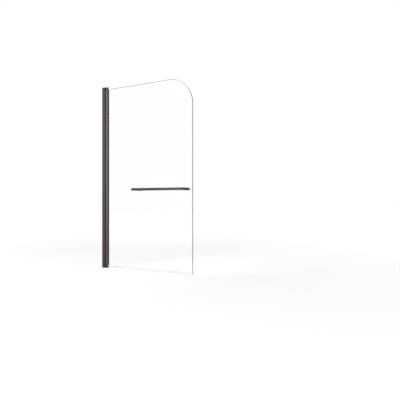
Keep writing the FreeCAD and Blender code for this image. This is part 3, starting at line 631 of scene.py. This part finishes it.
@dataclass
class Fastener:
    """A row of threaded fasteners that stands for a CAD node.

    Each is drawn upright, with its tip at the origin and its head or drive end up, and the row runs
    along X. Axis points to the drive end, and row from the first fastener to the last. The head curve
    is the head's outline in shares of its radius and height. The thread stops short of each end by
    the runout, in ridges.
    """

    node: str
    body: Body
    axis: Point
    row: Point
    count: int
    crest_mm: float
    pitch_mm: float
    head_mm: float = 0.0
    head_height_mm: float = 0.0
    drive: Drive = Drive.NONE
    drive_mm: float = 0.0
    drive_depth_mm: float = 0.0
    sides: int = 36
    ridge_share: float = 0.45
    runout: float = 2.0
    hex_sides: int = 6
    cross_arm: float = 0.26
    head_curve: tuple[Spot, ...] = ((1.0, 0.0), (1.0, 0.45), (0.93, 0.8), (0.78, 1.0))

    def ridge(self) -> float:
        """Height of the thread's ridge, in metres."""
        return self.ridge_share * self.pitch_mm * MM

    def core(self) -> float:
        """Radius that the thread stands on, in metres."""
        return self.crest_mm * MM / 2 - self.ridge()

    def recess(self) -> list[Spot]:
        """Outline of the drive recess.

        Returns:
            Its corners in metres, or none.
        """
        half = self.drive_mm * MM / 2
        if self.drive is Drive.HEX:
            return circle(half / math.cos(math.pi / self.hex_sides), self.hex_sides)
        if self.drive is Drive.CROSS:
            arm = half * self.cross_arm
            quarter = ((half, -arm), (half, arm), (arm, arm))
            turns = ((1, 0), (0, 1), (-1, 0), (0, -1))
            return [(x * c - y * s, x * s + y * c) for c, s in turns for x, y in quarter]
        return []

    def blank(self, length: float) -> bpy.types.Object:
        """Turn one fastener without its thread.

        Args:
            length: whole length in metres.

        Returns:
            The blank, upright at the origin.
        """
        ridge = self.ridge()
        core = self.core()
        chamfered = core - ridge / 2
        head = self.head_mm * MM / 2
        height = self.head_height_mm * MM
        profile = [(chamfered, 0.0), (core, ridge)]
        if head:
            seat = length - height
            profile += [(core, seat), *((out * head, seat + up * height) for out, up in self.head_curve)]
        else:
            profile += [(core, length - ridge), (chamfered, length)]
        shell = Shell()
        loops = [shell.loop((x, y, rise) for x, y in circle(radius, self.sides)) for radius, rise in profile]
        shell.cover(loops[0])
        for low, high in zip(loops, loops[1:]):
            shell.wall(low, high)
        outline = self.recess()
        if outline:
            rim = shell.loop((x, y, length) for x, y in outline)
            floor = shell.loop((x, y, length - self.drive_depth_mm * MM) for x, y in outline)
            shell.cover(loops[-1], rim)
            shell.wall(rim, floor)
            shell.cover(floor)
        else:
            shell.cover(loops[-1])
        return shell.build(f"threaded_{self.node}")

    def build(self, threads: ThreadedRow, finishes: Finishes) -> None:
        """Make the row, put it where its CAD node is and let it ride there.

        Args:
            threads: the geometry nodes.
            finishes: the materials.
        """
        low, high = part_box(self.node)
        axis = Vector(self.axis)
        row = Vector(self.row)
        size = high - low
        length = abs(size.dot(axis))
        reach = size.dot(row) - max(self.head_mm, self.crest_mm) * MM
        grip = length - self.head_height_mm * MM
        start = self.runout * self.ridge()
        piece = self.blank(length)
        threads.lay(piece, {
            "Core Radius": self.core(), "Ridge": self.ridge(), "Pitch": self.pitch_mm * MM,
            "Thread Start": start, "Thread Length": grip - 2 * start,
            "Count": self.count, "Spacing": reach / (self.count - 1),
            "Material": finishes.get(STAINLESS)})
        middle = (low + high) / 2
        tip = middle - axis * length / 2 - row * reach / 2
        turned = Matrix((row, axis.cross(row), axis)).transposed().to_4x4()
        piece.data.transform(Matrix.Translation(tip) @ turned)
        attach(piece, self.body.value)
        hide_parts(self.node)
        log.info("%s: %d fasteners", self.node, self.count)


@dataclass
class WallProfile:
    """Channel on the wall, its end caps, and the screws that clamp the jamb in it."""

    lock_screw: Fastener = field(default_factory=lambda: Fastener(
        "lock_screws", Body.WALL_FRAME, axis=(0, 1, 0), row=(0, 0, 1), count=3, crest_mm=4.0, pitch_mm=0.7,
        head_mm=7.8, head_height_mm=2.6, drive=Drive.CROSS, drive_mm=4.2, drive_depth_mm=1.5))

    def build(self, threads: ThreadedRow, finishes: Finishes) -> None:
        """Dress the channel and make its screws.

        Args:
            threads: the geometry nodes of the fasteners.
            finishes: the materials.
        """
        finishes.dress(POWDER_COAT, "wall_channel")
        finishes.dress(MOULDED_BLACK, "channel_foot_cap", "channel_head_cap", "lock_screw_covers")
        finishes.dress(STAINLESS, "lock_nuts")
        self.lock_screw.build(threads, finishes)


@dataclass
class SlidingJamb:
    """Jamb in the channel with its lip seal, and the brackets that carry the pivots."""

    screw_mm: float = 2.8
    screw_pitch_mm: float = 1.1
    screw_head_mm: float = 4.8
    screw_head_height_mm: float = 2.2
    cross_mm: float = 2.8
    cross_depth_mm: float = 1.2

    def bracket_screws(self, node: str, up: int) -> Fastener:
        """Self-tapping screws of one bracket.

        Args:
            node: the CAD node.
            up: 1 where the heads look up, -1 where they look down.

        Returns:
            The pair of screws.
        """
        return Fastener(node, Body.SLIDING_JAMB, axis=(0, 0, up), row=(0, 1, 0), count=2,
                        crest_mm=self.screw_mm, pitch_mm=self.screw_pitch_mm, head_mm=self.screw_head_mm,
                        head_height_mm=self.screw_head_height_mm, drive=Drive.CROSS,
                        drive_mm=self.cross_mm, drive_depth_mm=self.cross_depth_mm)

    def build(self, threads: ThreadedRow, finishes: Finishes) -> None:
        """Dress the jamb and make the brackets' screws.

        Args:
            threads: the geometry nodes of the fasteners.
            finishes: the materials.
        """
        finishes.dress(POWDER_COAT, "hinge_jamb")
        finishes.dress(EXTRUDED_RUBBER, "jamb_seal")
        for end, up in (("lower", -1), ("upper", 1)):
            finishes.dress(CAST_ZINC, f"{end}_pivot_bracket")
            finishes.dress(NATURAL_NYLON, f"{end}_pivot_bush")
            self.bracket_screws(f"{end}_bracket_screws", up).build(threads, finishes)


@dataclass
class GlazedLeaf:
    """Pivot post with its plugs and gasket, the pane that it holds and the seal under the pane.

    The pane is thinner than its node by the seal gap on each face, so that it shares no face with the
    gasket and the seal.
    """

    corner_mm: float = 190.0
    arris_mm: float = 1.5
    bore_arris_mm: float = 0.8
    sleeve_gap_mm: float = 0.1
    seal_gap_mm: float = 0.04
    corner_steps: int = 72
    hole_steps: int = 48
    crease_deg: float = 25.0

    def outline(self, inset: float) -> list[Spot]:
        """Outline of the pane, with its free upper corner rounded.

        Args:
            inset: how far the outline lies inside the pane's edge, in metres.

        Returns:
            Points in X and Z.
        """
        low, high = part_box("glass_pane")
        corner = self.corner_mm * MM
        centre_x, centre_z = high.x - corner, high.z - corner
        turns = (math.pi / 2 * step / self.corner_steps for step in range(self.corner_steps + 1))
        arc = [(centre_x + (corner - inset) * math.cos(turn), centre_z + (corner - inset) * math.sin(turn))
               for turn in turns]
        left, bottom, right, top = low.x + inset, low.z + inset, high.x - inset, high.z - inset
        return [(left, bottom), (right, bottom), *arc, (left, top)]

    def levels(self, arris: float) -> tuple[Spot, ...]:
        """Levels of an edge from face to face, with an arris at each.

        Args:
            arris: width of the arris, in metres.

        Returns:
            For each level its place in Y and how far the arris draws the edge back there.
        """
        low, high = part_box("glass_pane")
        front, back = low.y + self.seal_gap_mm * MM, high.y - self.seal_gap_mm * MM
        return (front, arris), (front + arris, 0.0), (back - arris, 0.0), (back, arris)

    def holes(self) -> list[Spot]:
        """Centres of the holes for the towel rail, in X and Z."""
        low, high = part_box("rail_sleeves")
        sleeve = (high.z - low.z) / 2
        level = (low.z + high.z) / 2
        return [(low.x + sleeve, level), (high.x - sleeve, level)]

    def bore(self, shell: Shell, centre: Spot) -> list[Loop]:
        """Add the loops of one hole.

        Args:
            shell: the pane's shell.
            centre: the hole's centre in X and Z.

        Returns:
            The loops from face to face.
        """
        low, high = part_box("rail_sleeves")
        radius = (high.z - low.z) / 2 + self.sleeve_gap_mm * MM
        centre_x, centre_z = centre
        loops = []
        for y, inset in self.levels(self.bore_arris_mm * MM):
            ring = circle(radius + inset, self.hole_steps)
            loops.append(shell.loop((centre_x + x, y, centre_z + z) for x, z in ring))
        return loops

    def pane(self, finishes: Finishes) -> bpy.types.Object:
        """Make the pane, with a ground arris along its edges and round its holes.

        Args:
            finishes: the materials.

        Returns:
            The pane, with clear faces and dark edges.
        """
        low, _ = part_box("glass_pane")
        arris = self.arris_mm * MM
        shell = Shell()
        edge = [shell.loop((x, y, z) for x, z in self.outline(inset)) for y, inset in self.levels(arris)]
        bores = [self.bore(shell, centre) for centre in self.holes()]
        for loops, finish in ((edge, PaneFace.GROUND), *((bore, PaneFace.SEAMED) for bore in bores)):
            for one, other in zip(loops, loops[1:]):
                shell.wall(one, other, finish)
        shell.refinish(low.z + arris, PaneFace.SEAMED)
        for side in (0, -1):
            shell.cover(edge[side], *(bore[side] for bore in bores), finish=PaneFace.CLEAR)
        materials = [finishes.get(finish) for finish in (FLOAT_GLASS, GROUND_EDGE, SEAMED_EDGE)]
        return shell.build("clear_pane", materials, self.crease_deg)

    def build(self, finishes: Finishes) -> None:
        """Make the pane and dress what holds it.

        Args:
            finishes: the materials.
        """
        # The post's shade is painted lighter than the channel's coat, a painted highlight on the same black
        # finish.
        finishes.dress(FINE_COAT_WITH_PAINTED_HIGHLIGHT, "pivot_post")
        finishes.dress(EXTRUDED_RUBBER, "glazing_gasket")
        finishes.dress(SOFT_VINYL, "bottom_seal")
        for end in ("lower", "upper"):
            finishes.dress(CAST_ZINC, f"{end}_pivot_plug")
            finishes.dress(NATURAL_NYLON, f"{end}_thrust_washer")
        pane = self.pane(finishes)
        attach(pane, Body.SWING_SCREEN.value)
        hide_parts("glass_pane")
        log.info("glass_pane: %s", FLOAT_GLASS.name)


@dataclass
class TowelRail:
    """Square towel rail on two posts, bolted through the pane."""

    grub_screw: Fastener = field(default_factory=lambda: Fastener(
        "rail_grub_screws", Body.SWING_SCREEN, axis=(0, 0, -1), row=(1, 0, 0), count=2, crest_mm=4.0,
        pitch_mm=0.7, drive=Drive.HEX, drive_mm=2.0, drive_depth_mm=2.0))
    stud: Fastener = field(default_factory=lambda: Fastener(
        "rail_studs", Body.SWING_SCREEN, axis=(0, 1, 0), row=(1, 0, 0), count=2, crest_mm=6.0, pitch_mm=1.0,
        drive=Drive.HEX, drive_mm=3.0, drive_depth_mm=3.0))

    def build(self, threads: ThreadedRow, finishes: Finishes) -> None:
        """Dress the rail and make its screws and studs.

        Args:
            threads: the geometry nodes of the fasteners.
            finishes: the materials.
        """
        finishes.dress(TUBE_COAT, "rail_bar", "rail_post_hinge_side", "rail_post_free_side")
        finishes.dress(EXTRUDED_RUBBER, "rail_outer_washers")
        finishes.dress(SOFT_VINYL, "rail_inner_washers")
        finishes.dress(NATURAL_NYLON, "rail_sleeves", "rail_knobs")
        self.grub_screw.build(threads, finishes)
        self.stud.build(threads, finishes)


@dataclass(frozen=True)
class Lamp:
    """A rectangular softbox. Sizes and places are in metres, power in watts."""

    name: str
    place: Point
    aim: Point
    width: float
    height: float
    power: float

    def hang(self) -> None:
        """Hang the lamp and turn it to what it lights."""
        data = bpy.data.lights.new(self.name, "AREA")
        data.shape = "RECTANGLE"
        data.size = self.width
        data.size_y = self.height
        data.energy = self.power
        lamp = bpy.data.objects.new(self.name, data)
        lamp.location = self.place
        aim = Vector(self.aim) - Vector(self.place)
        lamp.rotation_euler = aim.to_track_quat("-Z", "Y").to_euler()
        bpy.context.scene.collection.objects.link(lamp)


@dataclass
class Studio:
    """Pale floor, white surroundings and two softboxes to the front left."""

    floor_half: float = 12.0
    sky_light: float = 0.58
    lamps: tuple[Lamp, ...] = (
        Lamp("tall_softbox", place=(-0.54, -2.90, 1.50), aim=(0.40, 0.0, 0.70),
             width=0.4, height=2.2, power=58.0),
        Lamp("side_softbox", place=(-2.28, -1.89, 1.25), aim=(0.04, 0.0, 0.70),
             width=0.9, height=2.2, power=28.0),
    )

    def lay_floor(self) -> None:
        """Lay the floor at the level that the screen stands on."""
        half = self.floor_half
        corners = [(-half, -half, 0.0), (half, -half, 0.0), (half, half, 0.0), (-half, half, 0.0)]
        mesh = bpy.data.meshes.new("studio_floor")
        mesh.from_pydata(corners, [], [(0, 1, 2, 3)])
        mesh.materials.append(StudioFloor().make())
        floor = bpy.data.objects.new("studio_floor", mesh)
        bpy.context.scene.collection.objects.link(floor)

    def light_surroundings(self) -> None:
        """Make the surroundings white to the eye, and dimmer as a source of light."""
        world = bpy.data.worlds.new("white_studio")
        world.use_nodes = True
        tree = world.node_tree
        tree.nodes.clear()
        level = add(tree, "ShaderNodeMapRange", {
            "Value": seen_directly(tree), "To Min": self.sky_light, "To Max": 1.0})
        sky = add(tree, "ShaderNodeBackground", {
            "Color": linear("#ffffff"), "Strength": level.outputs["Result"]})
        add(tree, "ShaderNodeOutputWorld", {"Surface": sky.outputs["Background"]})
        bpy.context.scene.world = world

    def build(self) -> None:
        """Set the floor, the surroundings, the light and the colour view."""
        self.lay_floor()
        self.light_surroundings()
        for lamp in self.lamps:
            lamp.hang()
        bpy.context.scene.view_settings.view_transform = "Standard"


@dataclass
class PhotoCamera:
    """Level camera to the right of the screen, at the photograph's viewing angle."""

    place: Point = (2.147, -2.450, 0.526)
    level_deg: float = 90.0
    turn_deg: float = 27.797
    focal_px: float = 405.3
    picture_px: float = 400.0
    sensor_mm: float = 36.0

    def build(self) -> None:
        """Make the camera and use it."""
        data = bpy.data.cameras.new("photo_camera")
        data.sensor_width = self.sensor_mm
        data.lens = self.sensor_mm * self.focal_px / self.picture_px
        camera = bpy.data.objects.new("photo_camera", data)
        camera.location = self.place
        camera.rotation_euler = (math.radians(self.level_deg), 0.0, math.radians(self.turn_deg))
        bpy.context.scene.collection.objects.link(camera)
        bpy.context.scene.camera = camera


def main() -> None:
    """Build the screen from the wall to the rail, then the studio and the camera."""
    finishes = Finishes()
    threads = ThreadedRow()
    WallProfile().build(threads, finishes)
    SlidingJamb().build(threads, finishes)
    GlazedLeaf().build(finishes)
    TowelRail().build(threads, finishes)
    Studio().build()
    PhotoCamera().build()


if __name__ == "__main__":
    logging.basicConfig(level=logging.INFO, format="%(name)s %(message)s")
    main()
